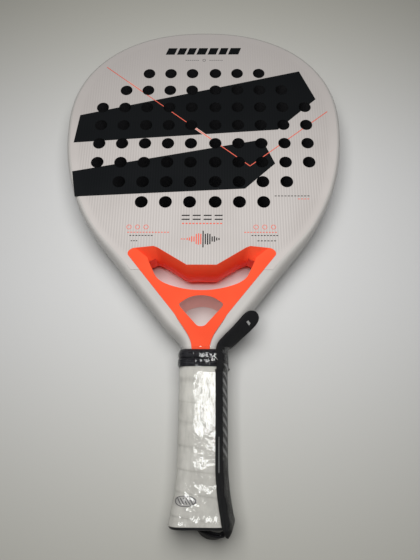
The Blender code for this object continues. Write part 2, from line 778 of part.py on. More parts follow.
make_frame_tube()
make_foam_core(CORE_HOLES)
make_skin("front_skin", THICKNESS - SKIN, SKIN_HOLES, BRIDGE_CLEARANCE)
make_skin("back_skin", 0.0, SKIN_HOLES, BRIDGE_CLEARANCE)
make_throat_bridge()
make_handle()
make_handle_foam()
make_grip_collar()
make_butt_cap()
make_grip_badge()
make_strap_ply("strap_inner_ply", 0.0)
make_strap_ply("strap_outer_ply", PLY + PLY_GAP)
make_bar_tack()
make_strap_anchor()
make_film_sleeve()
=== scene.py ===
"""Looks of the padel racket: finer surfaces, prints, wraps, webbing and film around the CAD frame.

Points are given in millimetres in the design's own frame, with Y counted from the butt end;
to_world() turns them into the CAD frame's metres.
"""

import math

import bmesh
import bpy
import numpy as np
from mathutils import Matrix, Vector, noise


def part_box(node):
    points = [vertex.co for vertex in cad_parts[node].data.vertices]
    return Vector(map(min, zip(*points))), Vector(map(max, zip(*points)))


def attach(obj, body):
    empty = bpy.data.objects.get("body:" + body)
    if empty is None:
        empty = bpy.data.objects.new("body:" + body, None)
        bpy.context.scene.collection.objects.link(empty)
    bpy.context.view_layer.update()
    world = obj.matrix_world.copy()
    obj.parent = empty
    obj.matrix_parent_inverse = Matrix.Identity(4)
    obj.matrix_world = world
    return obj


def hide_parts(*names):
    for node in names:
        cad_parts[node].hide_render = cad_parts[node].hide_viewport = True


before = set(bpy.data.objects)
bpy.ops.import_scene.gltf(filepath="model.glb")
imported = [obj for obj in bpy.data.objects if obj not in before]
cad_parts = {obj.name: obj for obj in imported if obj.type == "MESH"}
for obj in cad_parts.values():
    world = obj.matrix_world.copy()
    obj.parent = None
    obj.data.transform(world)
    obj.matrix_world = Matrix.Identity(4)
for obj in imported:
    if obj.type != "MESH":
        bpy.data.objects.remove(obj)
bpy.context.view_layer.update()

MM = 0.001
LENGTH = 455.0
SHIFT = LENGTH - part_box("frame_tube")[1].y / MM  # from the butt end to the CAD origin
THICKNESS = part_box("front_skin")[1].z / MM
MID = THICKNESS / 2
SKIN = 1.0

# Head outline
HEAD_HALF_WIDTH = 130.0
WIDEST_Y = 343.0
HEAD_EXPONENT = 2.2
ARM_LOW = Vector((30.6, 145.9))
ARM_HIGH = Vector((88.0, 217.2))
NECK = Vector((15.5, 127.0))
LEG_HALF_WIDTH = 11.5
LEG_END = 16.0
SKIN_END = 193.0
CREASE = 0.45  # step from the face down to the arms
LACQUER = 0.2  # paint over the bare tube
LACQUER_GAP = 0.05  # between visual pieces that touch

# Frame section along Y: width, half height, side rounding across and down
RAIL = 12.8  # width of the tube round the head and down the arms
TUBE_SHAPE = (
    (LEG_END, 9.4, 10.5, 3.0, 3.0),
    (108.0, 9.4, 10.5, 3.0, 3.0),
    (127.0, 8.2, 16.0, 7.0, 12.6),
    (148.0, RAIL, 18.8, 7.0, 14.0),
    (SKIN_END, RAIL, 18.8, 7.0, 14.0),
    (235.0, RAIL, 18.8, 4.5, 9.0),
    (LENGTH, RAIL, 18.8, 4.5, 9.0),
)
GROOVE = ((164.0, 176.0), (226.0, 240.0))  # where the side groove fades in and out
GROOVE_DEPTH = 1.5
GROOVE_HALF_WIDTH = 2.6

# Drilled holes
HOLE_ROWS = (6, 8, 10, 10, 10, 10, 8, 6)
HOLE_RADIUS = 5.75
HOLE_PITCH_X = 21.4
HOLE_PITCH_Y = 20.43
HOLE_CENTRE_GAP = 22.7  # between the two middle columns
FIRST_ROW_Y = 256.7
HOLE_SIDES = 40

# Throat bridge
BRIDGE_TOP = ((12.8, 197.3), (38, 213), (41.5, 214.3), (57.2, 212.6))
CROSSBAR_TOP = ((14, 203.5), (38.5, 219), (43, 221.5))
CROSSBAR_ARM_Y = 209.0
BEVEL_DEPTH = 10.0  # depth of the sloping wall of the opening
OPENING_RIM = ((12.8, 197.3), (38, 213), (41.5, 214.3), (56.4, 212.5), (46, 204))
OPENING_WALL = ((13, 191.2), (34, 204.5), (40, 206.8), (47, 203.4), (45.3, 202.4))
OPENING_SIDE = ((44.5, 200), (39.3, 189))
OPENING_CORNER = ((39.3, 189), (37.3, 185), (33.5, 181.8), (24.7, 179))
OPENING_BASE_Y = 175.1
WINDOW_TOP_Y = 170.7
WINDOW_CORNER = (17.5, 163.1)
WINDOW_BASE = (4.6, 147.0)
WINDOW_BASE_Y = 145.0
NECK_SPAN = (112.0, 148.0)  # the neck gets thinner here, towards the handle

# Handle layers: half width, half height and corner radius
GRIP = (17.2, 15.9, 9.0)
TAPE = (18.0, 16.7, 8.5)
COLLAR = (17.9, 17.7, 8.0)
AROUND = 96  # points round a layer
FLARE_START = 45.0  # the handle widens from here down to the butt
FLARE_X = 5.7
FLARE_Z = 1.6
GRIP_START = 2.2
GRIP_TOP = 119.2
TAPE_SPAN = (113.6, 120.4)
COLLAR_SPAN = (120.7, 127.3)
WRAP_PITCH = 16.0
WRAP_START = 2.2
WRAP_STRAY = 2.4  # how far a turn of the tape strays up or down
WRAP_WOBBLE = 0.05
WRAP_PROFILE = (  # share of the pitch and lift, up from a turn's lower edge
    (-0.012, -0.42), (0.0, -0.14), (0.025, 0.0), (0.10, -0.03),
    (0.30, -0.16), (0.60, -0.30), (0.85, -0.40), (0.975, -0.50),
)
CAP_RIM = (21.8, 17.3, 9.0)
CAP_HOLE = (6.0, 6.0, 6.0)
CAP_TOP = 2.1

# Badge on the grip
BADGE_Y = 18.6
BADGE_MIDDLE = 9.8  # from the middle of the grip, round its left corner
BADGE_HALF_LENGTH = 8.3
BADGE_HALF_HEIGHT = 3.6
BADGE_LIFT = 0.18
BADGE_INK_SPAN = (0.1, 0.28)  # from inside the plate to just above it
BADGE_SIDES = 48

# Wrist strap
PLY = 1.5
PLY_GAP = 0.35
STRAP_WIDTH = 15.0
STRAP_LIFT = 0.6  # above the handle's layers
STRAP_TILT = 28.0  # degrees up from +X, on the handle
STRAP_FLATTER = 3.0  # the strap bends less tightly than the corner under it
STRAP_STEPS = 6  # stations from one listed row to the next
PLY_SECTION = 9  # columns across each broad side of a ply
STRAP_TURN = (  # under the butt: X, Y, Z, tilt, width and bend radius
    (0.6, 3.8, MID, 0, 8, 60),
    (0.6, 0, MID, 8, 8, 60),
    (2.4, -2, MID + 0.6, 20, 9, 60),
    (6.8, -4, MID + 1.6, 26, 11, 50),
    (12.4, -4.4, MID + 3.2, 20, 11.5, 40),
    (17.2, -3, MID + 4.2, 8, 10.5, 30),
    (20.8, -0.2, MID + 5.6, 10, 11.5, 20),
)
STRAP_STOPS = (3.6, 10, 17, 26, 42, 75, 107, 112.2, 119.6, 127.8)  # Y, up the handle
STRAP_TONGUE = (  # above the collar, as for the turn
    (21.6, 133.6, 33.6, 36, 13.6, 14),
    (27.8, 140.2, 33, 44, 13, 25),
    (34.6, 147, 33.2, 52, 13.4, 50),
    (39, 151.6, 33, 58, 13.4, 80),
    (41.8, 154.6, 32.8, 60, 11.4, 80),
    (43.4, 156.4, 32.6, 60, 8, 80),
    (44.3, 157.4, 32.5, 60, 3.4, 80),
)

# Clear sleeve
FILM_GAP = 0.7
FILM_WALL = 0.15
FILM_SPAN = (0.9, 128.6)
FILM_RINGS = 140
FILM_SIDES = 160
FILM_CENTRE = (2.0, MID + 1.0)
BAND_SWELL = 0.35  # how far the two dark bands push the film out
BAND_SWELL_SPOTS = ((116.8, 2.2), (123.0, 2.0))  # Y and reach

# Surface detail
RIB_PITCH = 2.4
RIB_REACH_DOWN = 171.0  # from the widest line of the head
YARN_PITCH = (1.5, 1.1)  # along and across the strap
HATCH_PITCH = 7.2
HATCH_LEAN = 1.1
HATCH_SPAN = (46.0, 116.0)
PERFORATION_STEP = 1.35
PERFORATION_LINES = ((0.6, 53.0, 84.0), (8.0, 54.0, 95.0), (14.4, 38.0, 62.0))  # X, from Y, to Y
PERFORATION_Z = 28.0  # only above this height
INK_ROOT = 0.05  # depth of the printed plates in the face
RING_SIDES = 28


def to_world(point):
    x, y, z = point
    return Vector((x, y - SHIFT, z)) * MM


def add_object(name, data):
    added = bpy.data.objects.new(name, data)
    bpy.context.scene.collection.objects.link(added)
    return added


# -------- camera, floor and light

def add_camera():
    data = bpy.data.cameras.new("camera")
    data.sensor_width = 36.0
    data.lens = 27.22
    data.clip_start = 0.01
    camera = add_object("camera", data)
    camera.location = to_world((11.0, 72.3, 371.0))
    camera.rotation_euler = [math.radians(turn) for turn in (18.52, 0.555, 0.318)]
    bpy.context.scene.camera = camera


def add_area_light(name, place, size, power, mirrored_in_gloss=True):
    """A panel of the given size in millimetres that shines straight down."""
    data = bpy.data.lights.new(name, "AREA")
    data.shape = "RECTANGLE"
    data.size = size[0] * MM
    data.size_y = size[1] * MM
    data.energy = power
    light = add_object(name, data)
    light.location = to_world(place)
    light.visible_glossy = mirrored_in_gloss


def add_lights():
    world = bpy.data.worlds.new("studio")
    world.use_nodes = True
    backdrop = world.node_tree.nodes["Background"]
    backdrop.inputs["Color"].default_value = (1, 1, 1, 1)
    backdrop.inputs["Strength"].default_value = 0.06
    bpy.context.scene.world = world
    bpy.context.scene.view_settings.view_transform = "Standard"
    add_area_light("soft_panel", (0, 240, 460), (340, 310), 2.22, mirrored_in_gloss=False)
    add_area_light("lamp_strip", (-300, 135, 930), (95, 250), 0.44)


def add_floor():
    mesh = bpy.data.meshes.new("floor")
    mesh.from_pydata(((-2, -2, 0), (2, -2, 0), (2, 2, 0), (-2, 2, 0)), (), ((0, 1, 2, 3),))
    mesh.materials.append(FLOOR)
    floor = add_object("floor", mesh)


# -------- material helpers

def opaque(color):
    return (*color, 1.0) if isinstance(color, tuple) else color


class Nodes:
    """Short names for the shader nodes that the materials below are made of."""

    def __init__(self, name):
        self.material = bpy.data.materials.new(name)
        self.material.use_nodes = True
        self.tree = self.material.node_tree
        self.shader = self.tree.nodes["Principled BSDF"]

    def add(self, kind, sockets, **settings):
        """A new node with its settings, and a value or a link for each socket named."""
        node = self.tree.nodes.new(kind)
        for key, value in settings.items():
            setattr(node, key, value)
        for key, source in sockets.items():
            self.link(source, node.inputs[key])
        return node

    def link(self, source, target):
        if isinstance(source, (int, float, tuple)):
            target.default_value = source
        else:
            self.tree.links.new(source, target)

    def position(self):
        """Object coordinates in millimetres."""
        place = self.add("ShaderNodeTexCoord", {}).outputs["Object"]
        sockets = {0: place, "Scale": 1 / MM}
        return self.add("ShaderNodeVectorMath", sockets, operation="SCALE").outputs[0]

    def split(self, vector):
        return self.add("ShaderNodeSeparateXYZ", {0: vector}).outputs

    def math(self, operation, *values):
        sockets = dict(enumerate(values))
        return self.add("ShaderNodeMath", sockets, operation=operation).outputs[0]

    def times(self, first, second):
        return self.math("MULTIPLY", first, second)

    def apart(self, first, second):
        return self.math("ABSOLUTE", self.math("SUBTRACT", first, second))

    def ramp(self, value, low, high, to_low=0.0, to_high=1.0):
        """Smooth step of value between low and high."""
        sockets = dict(enumerate((value, low, high, to_low, to_high)))
        node = self.add("ShaderNodeMapRange", sockets, interpolation_type="SMOOTHSTEP")
        return node.outputs[0]

    def noise(self, vector, scale, detail=2.0, roughness=0.5):
        """Noise whose features are about 1 / scale millimetres across."""
        sockets = {"Vector": vector, "Scale": scale, "Detail": detail, "Roughness": roughness}
        return self.add("ShaderNodeTexNoise", sockets).outputs["Fac"]

    def stretched(self, vector, scale):
        return self.add("ShaderNodeMapping", {"Vector": vector, "Scale": scale}).outputs[0]

    def cells(self, vector, scale):
        """Distance from the middle of the nearest cell, for pores and pits."""
        node = self.add("ShaderNodeTexVoronoi", {"Vector": vector, "Scale": scale})
        return node.outputs["Distance"]

    def mix(self, share, first, second):
        sockets = {"Factor": share, "A": opaque(first), "B": opaque(second)}
        return self.add("ShaderNodeMix", sockets, data_type="RGBA").outputs["Result"]

    def painted_tip_shade(self, tint, place, color):
        """Painted shade: makes a paint darker toward the tip of the head, where less light falls."""
        _, y, _ = self.split(place)
        share = self.ramp(y, 220.0 - SHIFT, 450.0 - SHIFT, 0.0, 0.85)
        return self.mix(share, tint, tuple(c * 0.76 for c in color))

    def bump(self, height, depth, before=None):
        """Bump of the given depth in millimetres for a height from 0 to 1."""
        sockets = {"Distance": depth * MM, "Height": height}
        if before is not None:
            sockets["Normal"] = before
        return self.add("ShaderNodeBump", sockets).outputs[0]

    def finish(self, color, roughness, normal=None, **uniform):
        self.link(opaque(color), self.shader.inputs["Base Color"])
        self.link(roughness, self.shader.inputs["Roughness"])
        if normal is not None:
            self.link(normal, self.shader.inputs["Normal"])
        for name, value in uniform.items():
            self.shader.inputs[name.replace("_", " ")].default_value = value
        return self.material


def ribbed_height(nodes, place):
    """Fine lengthwise ribs that stop short of the rim of the head."""
    x, y, _ = nodes.split(place)
    wave = nodes.math("SINE", nodes.times(x, 2 * math.pi / RIB_PITCH))
    ridge = nodes.math("MULTIPLY_ADD", wave, 0.5, 0.5)
    centre_y = WIDEST_Y - SHIFT
    across = nodes.math("DIVIDE", nodes.math("ABSOLUTE", x), HEAD_HALF_WIDTH)
    reach = nodes.math("POWER", across, HEAD_EXPONENT)
    for start, end, span in ((centre_y, y, LENGTH - WIDEST_Y), (y, centre_y, RIB_REACH_DOWN)):
        beyond = nodes.math("MAXIMUM", nodes.math("SUBTRACT", end, start), 0)
        share = nodes.math("DIVIDE", beyond, span)
        reach = nodes.math("ADD", reach, nodes.math("POWER", share, HEAD_EXPONENT))
    inside = nodes.ramp(reach, 0.84, 0.76)
    return nodes.times(ridge, inside)


def ribbed_paint(name, color, shade, roughness, contrast, shine):
    """Lacquer or ink over the ribbed laminate of the faces."""
    nodes = Nodes(name)
    place = nodes.position()
    ribs = ribbed_height(nodes, place)
    tint = nodes.mix(nodes.ramp(nodes.noise(place, 0.02), 0.35, 0.65), color, shade)
    tint = nodes.mix(nodes.times(ribs, contrast), tint, tuple(c * 0.55 for c in color))
    # painted shade: the paint turns darker toward the tip of the head
    tint = nodes.painted_tip_shade(tint, place, color)
    grain = nodes.noise(place, 1.6)
    normal = nodes.bump(grain, 0.01, nodes.bump(ribs, 0.08))
    rough = nodes.ramp(grain, 0.3, 0.7, roughness - 0.04, roughness + 0.05)
    return nodes.finish(tint, rough, normal, Specular_IOR_Level=shine)


def lacquer(name, color, shade, roughness, shine):
    """Sprayed paint with a faint orange peel and uneven tone."""
    nodes = Nodes(name)
    place = nodes.position()
    tint = nodes.mix(nodes.ramp(nodes.noise(place, 0.03), 0.35, 0.65), color, shade)
    # painted shade: the paint turns darker toward the tip of the head
    tint = nodes.painted_tip_shade(tint, place, color)
    peel = nodes.noise(place, 0.8)
    speck = nodes.noise(place, 6)
    normal = nodes.bump(speck, 0.006, nodes.bump(peel, 0.02))
    rough = nodes.ramp(speck, 0.3, 0.7, roughness - 0.05, roughness + 0.06)
    return nodes.finish(tint, rough, normal, Specular_IOR_Level=shine)


def foam_material():
    """Dark foam with small pits."""
    nodes = Nodes("cell_foam")
    pits = nodes.cells(nodes.position(), 1.1)
    tint = nodes.mix(pits, (0.030, 0.030, 0.032), (0.014, 0.014, 0.015))
    return nodes.finish(tint, 0.92, nodes.bump(pits, 0.2), Specular_IOR_Level=0.2)


def grip_material():
    """White synthetic leather: tiny pores, soft creases, and painted shade that makes the hollows of
    the pores slightly greyer.
    """
    nodes = Nodes("grip_leather")
    place = nodes.position()
    pore = nodes.ramp(nodes.cells(place, 1.6), 0, 0.5)
    crease = nodes.noise(place, 0.25, 4)
    stain = nodes.ramp(nodes.noise(place, 0.06, 3), 0.35, 0.7)
    tint = nodes.mix(stain, (0.70, 0.685, 0.63), (0.61, 0.595, 0.545))
    # painted shade: the pores' hollows are greyer
    tint = nodes.mix(nodes.ramp(pore, 0.6, 0.2, 0, 0.25), tint, (0.36, 0.35, 0.32))
    normal = nodes.bump(crease, 0.25, nodes.bump(pore, 0.06))
    return nodes.finish(tint, nodes.ramp(crease, 0.3, 0.7, 0.42, 0.58), normal, Coat_Weight=0.1)


def band_material(name, color, roughness, wrinkle):
    """Stretched black tape or rubber with fine wrinkles round the handle, whose crests are lighter
    with painted highlight.
    """
    nodes = Nodes(name)
    place = nodes.position()
    folds = nodes.noise(nodes.stretched(place, (0.25, 1, 0.25)), 0.9, 4, 0.6)
    grain = nodes.noise(place, 5)
    # painted highlight: the crests of the wrinkles are lighter
    tint = nodes.mix(folds, color, tuple(c * 1.9 for c in color))
    normal = nodes.bump(folds, wrinkle, nodes.bump(grain, 0.01))
    rough = nodes.ramp(folds, 0.3, 0.7, roughness - 0.06, roughness + 0.1)
    return nodes.finish(tint, rough, normal)


def moulded_material(name, color, roughness):
    """A plain part with a fine even grain."""
    nodes = Nodes(name)
    grain = nodes.noise(nodes.position(), 3, 3)
    tint = nodes.mix(grain, color, tuple(c * 1.6 for c in color))
    rough = nodes.ramp(grain, 0.3, 0.7, roughness - 0.05, roughness + 0.08)
    return nodes.finish(tint, rough, nodes.bump(grain, 0.04))


def webbing_material(name, hatched):
    """Plain weave from the strap's own coordinates in millimetres, with slanted marks if asked."""
    nodes = Nodes(name)
    layout = nodes.add("ShaderNodeUVMap", {}, uv_map="weave")
    along, across, _ = nodes.split(layout.outputs[0])
    u = nodes.times(along, 2 * math.pi / YARN_PITCH[0])
    v = nodes.times(across, 2 * math.pi / YARN_PITCH[1])
    weave = nodes.times(nodes.math("SINE", u), nodes.math("SINE", v))
    height = nodes.math("MULTIPLY_ADD", weave, 0.5, 0.5)
    fuzz = nodes.noise(nodes.position(), 2.5, 3)
    tint = nodes.mix(height, (0.008, 0.008, 0.009), (0.015, 0.015, 0.016))
    tint = nodes.mix(nodes.times(fuzz, 0.4), tint, (0.020, 0.020, 0.021))
    if hatched:
        _, y, _ = nodes.split(nodes.position())
        lean = nodes.math("MULTIPLY_ADD", across, HATCH_LEAN, along)
        stroke = nodes.math("FRACT", nodes.math("DIVIDE", lean, HATCH_PITCH))
        marks = nodes.ramp(nodes.apart(stroke, 0.5), 0.24, 0.18)
        first, last = (end - SHIFT for end in HATCH_SPAN)
        for value, low, high in ((across, -3, -2.5), (across, 3.4, 2.9),
                                 (y, first, first + 1), (y, last, last - 1)):
            marks = nodes.times(marks, nodes.ramp(value, low, high))
        tint = nodes.mix(marks, tint, (0.22, 0.22, 0.22))
    normal = nodes.bump(height, 0.12, nodes.bump(fuzz, 0.06))
    return nodes.finish(tint, 0.7, normal, Specular_IOR_Level=0.3)


def film_material():
    """Clear shrink film: mostly see-through, glossy, with rows of tear perforations."""
    nodes = Nodes("clear_film")
    place = nodes.position()
    x, y, z = nodes.split(place)
    dots = 0.0
    step = nodes.math("FRACT", nodes.math("DIVIDE", y, PERFORATION_STEP))
    hole = nodes.ramp(nodes.apart(step, 0.5), 0.22, 0.14)
    top = nodes.math("GREATER_THAN", z, PERFORATION_Z)
    for line, low, high in PERFORATION_LINES:
        dot = nodes.times(nodes.ramp(nodes.apart(x, line), 0.3, 0.18), hole)
        along = nodes.math("COMPARE", y, (low + high) / 2 - SHIFT, (high - low) / 2)
        dot = nodes.times(dot, along)
        dots = nodes.math("MAXIMUM", dots, nodes.times(dot, top))
    haze = nodes.noise(nodes.stretched(place, (1, 0.22, 1)), 0.45, 4, 0.7)
    streaks = nodes.ramp(haze, 0.38, 0.66, 0.03, 0.082)
    solid = nodes.math("MULTIPLY_ADD", dots, 0.7, streaks)
    nodes.link(solid, nodes.shader.inputs["Alpha"])
    nodes.link(nodes.ramp(dots, 0, 1, 1, 0), nodes.shader.inputs["Metallic"])
    return nodes.finish((0.85, 0.86, 0.85), 0.07, nodes.bump(nodes.noise(place, 0.22, 2), 0.18))


def floor_material():
    """A pale sheet with painted shade that makes it darker and yellower away from the middle of the
    racket, where the light falls off.
    """
    nodes = Nodes("pale_floor")
    place = nodes.position()
    _, y, _ = nodes.split(place)
    middle = nodes.apart(y, 240.0 - SHIFT)
    # painted shade: darker and yellower away from the middle for the light's falloff, with a faint
    # random cloud
    away = nodes.ramp(middle, 30, 360)
    cloud_and_falloff_shade = nodes.math("MULTIPLY_ADD", nodes.noise(place, 0.004), 0.1, away)
    tint = nodes.mix(cloud_and_falloff_shade, (0.70, 0.70, 0.695), (0.58, 0.57, 0.51))
    return nodes.finish(tint, 0.7, nodes.bump(nodes.noise(place, 1), 0.02))


FLOOR = floor_material()
# The frame's white is darkened: painted shade for the darker sides of the frame.
FRAME_PAINT_SHADED = lacquer("frame_lacquer_shaded", (0.57, 0.55, 0.52), (0.54, 0.52, 0.495), 0.36, 0.5)
FACE_PAINT = ribbed_paint("face_lacquer", (0.595, 0.555, 0.53), (0.555, 0.515, 0.49), 0.45, 0.36, 0.5)
PRINT_BLACK = ribbed_paint("print_black", (0.009, 0.010, 0.011), (0.011, 0.012, 0.013), 0.5, 0.3, 0.1)
PRINT_CORAL = ribbed_paint("print_coral", (0.85, 0.16, 0.11), (0.80, 0.15, 0.10), 0.5, 0.2, 0.2)
PRINT_PINK = ribbed_paint("print_pink", (0.78, 0.56, 0.50), (0.74, 0.53, 0.47), 0.5, 0.2, 0.2)
BRIDGE_PAINT = lacquer("bridge_paint", (0.98, 0.105, 0.042), (0.96, 0.095, 0.038), 0.5, 0.15)
# Pale paint for the window's wall; its pink tint and extra brightness are painted bounce light from
# the orange bridge.
WINDOW_PAINT_AND_BOUNCE = lacquer("window_paint_and_bounce", (0.95, 0.64, 0.60), (0.92, 0.60, 0.56), 0.5, 0.3)
FOAM = foam_material()
GRIP_SKIN = grip_material()
TAPE_SKIN = band_material("tape_vinyl", (0.010, 0.010, 0.012), 0.24, 0.30)
COLLAR_SKIN = band_material("collar_rubber", (0.012, 0.012, 0.014), 0.30, 0.35)
CAP_SKIN = moulded_material("cap_plastic", (0.012, 0.012, 0.013), 0.42)
BADGE_PLATE = moulded_material("badge_plate", (0.42, 0.41, 0.39), 0.35)
BADGE_INK = moulded_material("badge_ink", (0.05, 0.05, 0.055), 0.35)
WEBBING = webbing_material("strap_webbing", hatched=False)
WEBBING_HATCHED = webbing_material("strap_webbing_hatched", hatched=True)
THREAD = moulded_material("thread", (0.60, 0.60, 0.58), 0.7)
FILM = film_material()


# -------- mesh helpers

def new_object(name, work):
    """An object from a bmesh whose points are in design millimetres."""
    bmesh.ops.recalc_face_normals(work, faces=work.faces)
    for vertex in work.verts:
        vertex.co = to_world(vertex.co)
    mesh = bpy.data.meshes.new(name)
    work.to_mesh(mesh)
    work.free()
    return add_object(name, mesh)


def evaluated_mesh(piece):
    """The shape of an object with its modifiers or curve settings, as a plain mesh."""
    bpy.context.view_layer.update()
    return bpy.data.meshes.new_from_object(piece.evaluated_get(bpy.context.evaluated_depsgraph_get()))


def modify(piece, kind, **settings):
    """Changes the piece's mesh by one modifier."""
    modifier = piece.modifiers.new(kind, kind)
    for key, value in settings.items():
        setattr(modifier, key, value)
    mesh = evaluated_mesh(piece)
    piece.modifiers.clear()
    piece.data = mesh


def boolean(piece, cutter, operation="DIFFERENCE"):
    """Cuts the cutter out of the piece, or joins it on, and removes the cutter."""
    modify(piece, "BOOLEAN", object=cutter, operation=operation, solver="EXACT")
    bpy.data.objects.remove(cutter, do_unlink=True)


def soften_edges(piece, width, segments=2):
    piece.data.shade_smooth()
    modify(piece, "BEVEL", width=width * MM, segments=segments, limit_method="ANGLE",
           angle_limit=math.radians(35.0), harden_normals=True)


def dress(piece, materials, stands_for=(), sharp=35.0):
    """Gives a piece its finish, and its place on the racket's one body."""
    mesh = piece.data
    mesh.materials.clear()
    for material in materials:
        mesh.materials.append(material)
    if sharp:
        mesh.shade_smooth()
        mesh.set_sharp_from_angle(angle=math.radians(sharp))
    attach(piece, "root")
    if stands_for:
        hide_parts(*stands_for)


def add_prism(work, outline, low, high):
    """A flat outline in X and Y, extruded from height low to height high."""
    bottom = [work.verts.new((x, y, low)) for x, y in outline]
    top = [work.verts.new((x, y, high)) for x, y in outline]
    work.faces.new(bottom[::-1])
    work.faces.new(top)
    join_rows(work, (bottom, top))


def prism(outline, low, high):
    work = bmesh.new()
    add_prism(work, outline, low, high)
    bmesh.ops.recalc_face_normals(work, faces=work.faces)
    return work


def join_rows(work, rows):
    """Faces between closed rows of vertices."""
    for row, following in zip(rows, rows[1:]):
        for i in range(len(row)):
            work.faces.new((row[i - 1], row[i], following[i], following[i - 1]))


def loft(rings, loop=False, caps=True):
    """Quads between rings that all have the same number of points."""
    work = bmesh.new()
    rows = [[work.verts.new(point) for point in ring] for ring in rings]
    pairs = list(zip(rows, rows[1:]))
    if loop:
        pairs.append((rows[-1], rows[0]))
    count = len(rows[0])
    for row, following in pairs:
        for i in range(count):
            j = (i + 1) % count
            work.faces.new((row[i], row[j], following[j], following[i]))
    if caps and not loop:
        work.faces.new(rows[0])
        work.faces.new(rows[-1])
    return work


def bezier(start, handle_a, handle_b, end, steps):
    """Points along a cubic curve, both ends included."""
    points = []
    for t in np.linspace(0, 1, steps + 1):
        s = 1.0 - t
        points.append(Vector(start) * s ** 3 + Vector(handle_a) * (3 * s * s * t)
                      + Vector(handle_b) * (3 * s * t * t) + Vector(end) * t ** 3)
    return points


def mirrored(half):
    """A right half, listed from the middle or back to it, with its left half."""
    return list(half) + [(-x, y) for x, y in reversed(half) if abs(x) > 0.001]


def smooth_step(share):
    share = min(max(share, 0.0), 1.0)
    return share * share * (3 - 2 * share)


# -------- outlines

ARM_DIRECTION = (ARM_HIGH - ARM_LOW).normalized()
ARM_INWARD = Vector((-ARM_DIRECTION.y, ARM_DIRECTION.x))


def arm_point(y, inset):
    """A point on the straight arm's outer line at height y, moved in by inset."""
    along = (y - ARM_LOW.y) / ARM_DIRECTION.y
    return ARM_LOW + ARM_DIRECTION * along + ARM_INWARD * inset


def half_outline():
    """The outer silhouette of the right half, from the leg in the handle to the tip."""
    legs = [Vector((LEG_HALF_WIDTH, y)) for y in (LEG_END, 62, 108)]
    legs += [Vector((13.5, 117.5)), Vector((14.7, 122.5))]
    fillet = bezier(NECK, NECK + Vector((0, 7)), ARM_LOW - ARM_DIRECTION * 10, ARM_LOW, 14)
    stops = list(np.linspace(ARM_LOW.y, SKIN_END - 0.4, 16)[1:]) + [SKIN_END + 0.4]
    stops += list(np.linspace(SKIN_END, ARM_HIGH.y, 9)[1:-1])
    arm = [arm_point(y, 0) for y in stops]
    widest = Vector((HEAD_HALF_WIDTH, WIDEST_Y))
    shoulder = bezier(ARM_HIGH, ARM_HIGH + ARM_DIRECTION * 34,
                      widest - Vector((0, 60)), widest, 40)
    crown = []
    for angle in np.linspace(0, math.pi / 2, 61)[1:]:
        x = HEAD_HALF_WIDTH * max(math.cos(angle), 0) ** (2 / HEAD_EXPONENT)
        y = WIDEST_Y + (LENGTH - WIDEST_Y) * math.sin(angle) ** (2 / HEAD_EXPONENT)
        crown.append(Vector((0.0 if x < 0.01 else x, y)))
    return legs + fillet + arm + shoulder + crown


def inward_normals(points):
    normals = []
    for i, point in enumerate(points):
        before = points[max(i - 1, 0)]
        after = points[min(i + 1, len(points) - 1)]
        tangent = (after - before).normalized()
        normals.append(Vector((-tangent.y, tangent.x)))
    normals[-1] = Vector((0, -1))
    return normals


OUTLINE = half_outline()
INWARD = inward_normals(OUTLINE)


def tube_value(y, column):
    """A value of TUBE_SHAPE at height y, eased between its rows."""
    if y <= TUBE_SHAPE[0][0]:
        return TUBE_SHAPE[0][column]
    for low, high in zip(TUBE_SHAPE, TUBE_SHAPE[1:]):
        if y <= high[0]:
            share = smooth_step((y - low[0]) / (high[0] - low[0]))
            return low[column] + (high[column] - low[column]) * share
    return TUBE_SHAPE[-1][column]


def inset_outline(inset, lowest):
    """The silhouette above a lowest Y, moved in by inset(y)."""
    points = []
    for point, normal in zip(OUTLINE, INWARD):
        if point.y > lowest:
            moved = point + normal * inset(point.y)
            points.append((max(moved.x, 0.0), moved.y))
    return points


# -------- frame and faces

def groove_depth(y):
    (start, full), (fade, end) = GROOVE
    begun = smooth_step((y - start) / (full - start))
    return GROOVE_DEPTH * begun * smooth_step((end - y) / (end - fade))


def frame_ring(point, normal, side):
    """One section of the frame, from its inner top edge round the outside."""
    y = point.y
    width, half_height, across, down = (tube_value(y, k) for k in range(1, 5))
    under_skin = y > SKIN_END
    top = half_height + LACQUER if under_skin else half_height + LACQUER - CREASE
    seat = MID - SKIN - LACQUER_GAP if under_skin else top - 0.001
    upper = [(width, seat), (across + LACQUER_GAP, seat)]
    for angle in np.linspace(0.0, math.pi / 2, 10):
        upper.append((across * (1 - math.sin(angle)), top - down * (1 - math.cos(angle))))
    depth = groove_depth(y)
    for share in (0.0, 0.25, 0.75):
        n = depth * smooth_step(share)
        upper.append((n, GROOVE_HALF_WIDTH * (1 - share)))
    ring = []
    for n, z in upper + [(depth, 0.0)] + [(n, -z) for n, z in reversed(upper)]:
        place = point + normal * n
        ring.append((side * place.x, place.y, MID + z))
    return ring


def make_frame():
    right = [frame_ring(p, n, 1) for p, n in zip(OUTLINE, INWARD)]
    left = [frame_ring(p, n, -1) for p, n in zip(OUTLINE[:-1], INWARD[:-1])]
    piece = new_object("frame_body", loft(right + left[::-1]))
    # the frame's paint carries painted shade for its sides
    dress(piece, [FRAME_PAINT_SHADED], ["frame_tube"], sharp=40.0)


def hole_centres():
    for row, count in enumerate(HOLE_ROWS):
        y = FIRST_ROW_Y + row * HOLE_PITCH_Y
        for column in range(count // 2):
            x = HOLE_CENTRE_GAP / 2 + column * HOLE_PITCH_X
            yield x, y
            yield -x, y


def circle(x, y, radius, sides):
    turns = np.linspace(0, 2 * math.pi, sides + 1)[:-1]
    return [(x + radius * math.cos(a), y + radius * math.sin(a)) for a in turns]


def hole_cutter(radius):
    work = bmesh.new()
    for x, y in hole_centres():
        add_prism(work, circle(x, y, radius, HOLE_SIDES), -5.0, THICKNESS + 5.0)
    return new_object("holes", work)


